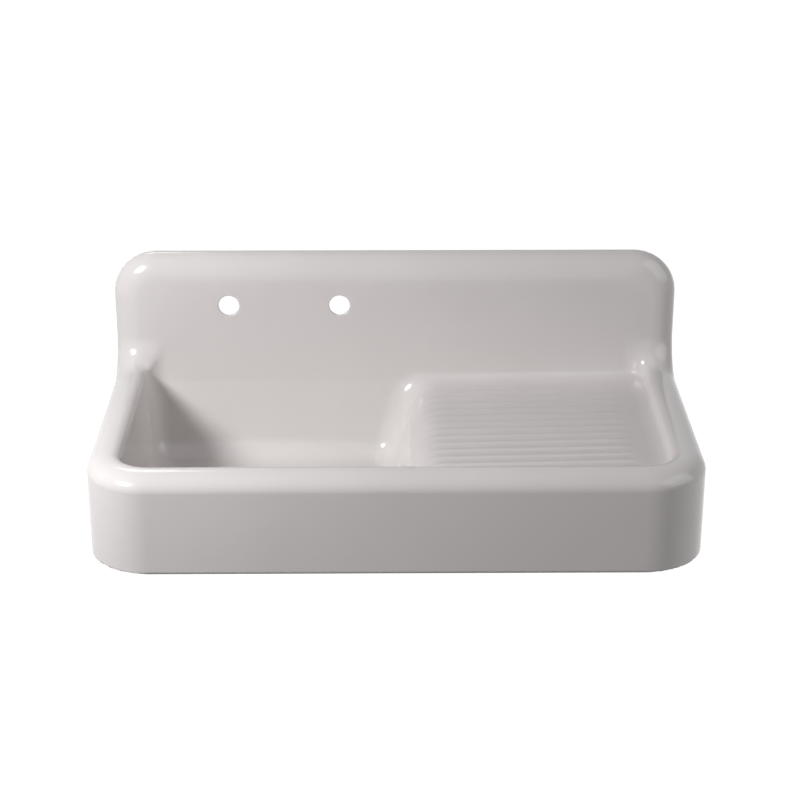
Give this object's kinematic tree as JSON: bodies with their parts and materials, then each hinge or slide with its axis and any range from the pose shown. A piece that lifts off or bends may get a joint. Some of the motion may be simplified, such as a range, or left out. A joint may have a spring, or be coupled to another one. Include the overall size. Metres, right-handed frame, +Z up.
{
  "type": "wall-hung kitchen sink with drainboard",
  "caption": "Wall-hung enamelled sink with a rolled rim, deep apron and high splashback; square bowl on the left, ribbed drainboard on the right, tap holes, basket strainer drain.",
  "frame": {"origin": "on the wall plane, in the middle of the rib by which the casting bears on the wall, midway between its left and right sides", "axes": "+X along the sink to its right, towards the drainboard; +Y out of the back, into the wall; +Z up"},
  "size_m": [1.035, 0.5847, 0.536],
  "materials": {
    "enamel": "glossy white vitreous enamel on cast iron",
    "galvanised_iron": "galvanised malleable iron, satin",
    "zinc_screw": "zinc-plated steel",
    "putty": "plumber's putty, matt",
    "stainless_steel": "pressed stainless steel, satin",
    "rubber": "black rubber, matt",
    "fibre": "vulcanised fibre, matt",
    "brass": "cast brass, dull",
    "chrome": "chrome-plated brass",
    "black_plastic": "moulded black plastic"
  },
  "bodies": {
    "sink": {"sink_casting": "enamel", "wall_hanger_left": "galvanised_iron", "wall_hanger_right": "galvanised_iron", "hanger_screw_left_upper": "zinc_screw", "hanger_screw_left_lower": "zinc_screw", "hanger_screw_right_upper": "zinc_screw", "hanger_screw_right_lower": "zinc_screw", "putty_ring": "putty", "strainer_body": "stainless_steel", "strainer_gasket": "rubber", "friction_washer": "fibre", "strainer_locknut": "brass", "tailpiece_washer": "rubber", "tailpiece": "chrome", "coupling_nut": "chrome"},
    "basket": {"basket_cup": "stainless_steel", "basket_stopper": "rubber", "basket_post": "stainless_steel", "basket_knob": "black_plastic", "basket_post_nut": "stainless_steel"}
  },
  "joints": [
    {"name": "basket_lift", "type": "slide", "parent": "sink", "child": "basket", "axis": [0, 0, 1], "range_m": [0, 0.26]}
  ]
}
